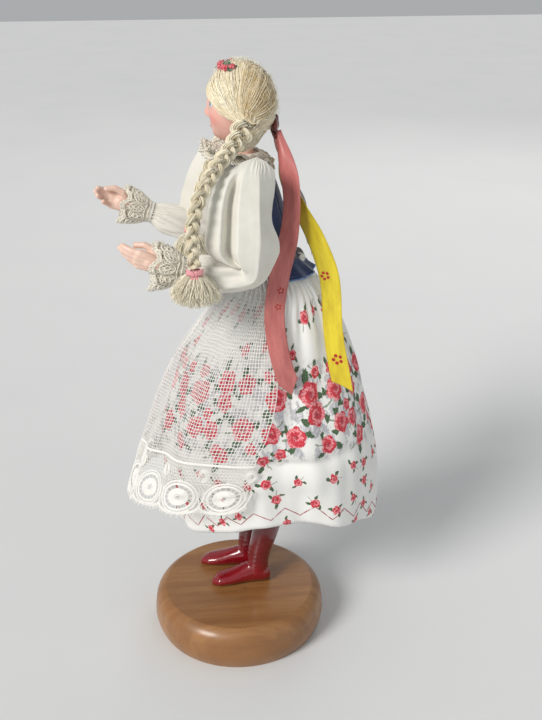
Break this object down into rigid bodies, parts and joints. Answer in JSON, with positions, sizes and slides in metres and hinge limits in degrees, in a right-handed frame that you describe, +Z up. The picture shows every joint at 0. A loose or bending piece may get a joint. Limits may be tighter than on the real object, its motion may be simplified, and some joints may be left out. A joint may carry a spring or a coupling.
{
  "type": "folk costume doll on stand",
  "caption": "Folk costume doll in an apron, printed skirt and blond braids, standing on a turned wooden disc; head and arms move.",
  "frame": {"origin": "centre of the stand's underside", "axes": "+Z up; the doll faces -Y, and its left side is towards +X"},
  "size_m": [0.0903, 0.1264, 0.267],
  "materials": {
    "varnished_wood": "glossy varnish over turned wood",
    "screw_steel": "zinc plated",
    "boot_red": "gloss moulded, deep red",
    "doll_skin": "moulded, painted face and hands",
    "body_cotton": "stuffed cotton",
    "arm_wire": "soft annealed wire",
    "blond_hair": "fine synthetic hair fibre",
    "flower_red": "rolled satin buds",
    "leaf_green": "stamped fabric leaves",
    "satin_maroon": "satin",
    "satin_rose": "satin ribbon",
    "satin_yellow": "satin ribbon with printed dots",
    "satin_white": "satin ribbon",
    "satin_red": "satin ribbon",
    "blouse_cotton": "plain woven cotton",
    "white_lace": "machine lace",
    "net_white": "square cotton net",
    "vest_navy": "felted cloth",
    "skirt_print": "printed cotton, red roses with green leaves on white",
    "petticoat_cotton": "plain cotton"
  },
  "bodies": {
    "stand": {"apron_lace": "white_lace", "apron_net": "net_white", "apron_tie": "net_white", "base": "varnished_wood", "base_screws": "screw_steel", "blouse": "blouse_cotton", "lace_collar": "white_lace", "left_boot": "boot_red", "left_thigh": "body_cotton", "neck_peg": "doll_skin", "petticoat": "petticoat_cotton", "right_boot": "boot_red", "right_thigh": "body_cotton", "skirt": "skirt_print", "torso": "body_cotton", "vest": "vest_navy", "vest_peplum": "vest_navy", "waistband": "skirt_print"},
    "head": {"head": "doll_skin", "hair": "blond_hair", "wreath_flowers": "flower_red", "wreath_leaves": "leaf_green", "nape_knot": "satin_maroon", "ribbon_rose": "satin_rose", "ribbon_yellow": "satin_yellow", "ribbon_white": "satin_white", "ribbon_red": "satin_red", "left_braid": "blond_hair", "left_braid_tie": "satin_rose", "left_tuft": "blond_hair", "right_braid": "blond_hair", "right_braid_tie": "satin_rose", "right_tuft": "blond_hair"},
    "left_upper_arm": {"left_upper_arm": "body_cotton", "left_sleeve": "blouse_cotton", "left_arm_wire": "arm_wire"},
    "left_forearm": {"left_forearm": "body_cotton", "left_hand": "doll_skin", "left_cuff": "white_lace"},
    "right_upper_arm": {"right_upper_arm": "body_cotton", "right_sleeve": "blouse_cotton", "right_arm_wire": "arm_wire"},
    "right_forearm": {"right_forearm": "body_cotton", "right_hand": "doll_skin", "right_cuff": "white_lace"}
  },
  "joints": [
    {"name": "neck_turn", "type": "hinge", "parent": "stand", "child": "head", "pos_m": [-0.007, 0.006, 0.24], "axis": [0, 0, 1], "range_deg": [-30, 40], "deforming": ["ribbon_rose", "ribbon_yellow", "ribbon_white", "ribbon_red", "left_braid", "left_braid_tie", "left_tuft", "right_braid", "right_braid_tie", "right_tuft"]},
    {"name": "left_shoulder_swing", "type": "hinge", "parent": "stand", "child": "left_upper_arm", "pos_m": [0.0135, 0.008, 0.225], "axis": [-1, 0, 0], "range_deg": [-10, 35], "deforming": ["left_sleeve"]},
    {"name": "left_elbow_bend", "type": "hinge", "parent": "left_upper_arm", "child": "left_forearm", "pos_m": [0.021, 0.006, 0.1865], "axis": [-1, 0, 0], "range_deg": [-15, 30], "deforming": ["left_arm_wire"]},
    {"name": "right_shoulder_swing", "type": "hinge", "parent": "stand", "child": "right_upper_arm", "pos_m": [-0.0275, 0.006, 0.225], "axis": [-1, 0, 0], "range_deg": [-10, 35], "deforming": ["right_sleeve"]},
    {"name": "right_elbow_bend", "type": "hinge", "parent": "right_upper_arm", "child": "right_forearm", "pos_m": [-0.037, 0, 0.1865], "axis": [-1, 0, 0], "range_deg": [-15, 20], "deforming": ["right_arm_wire"]}
  ]
}
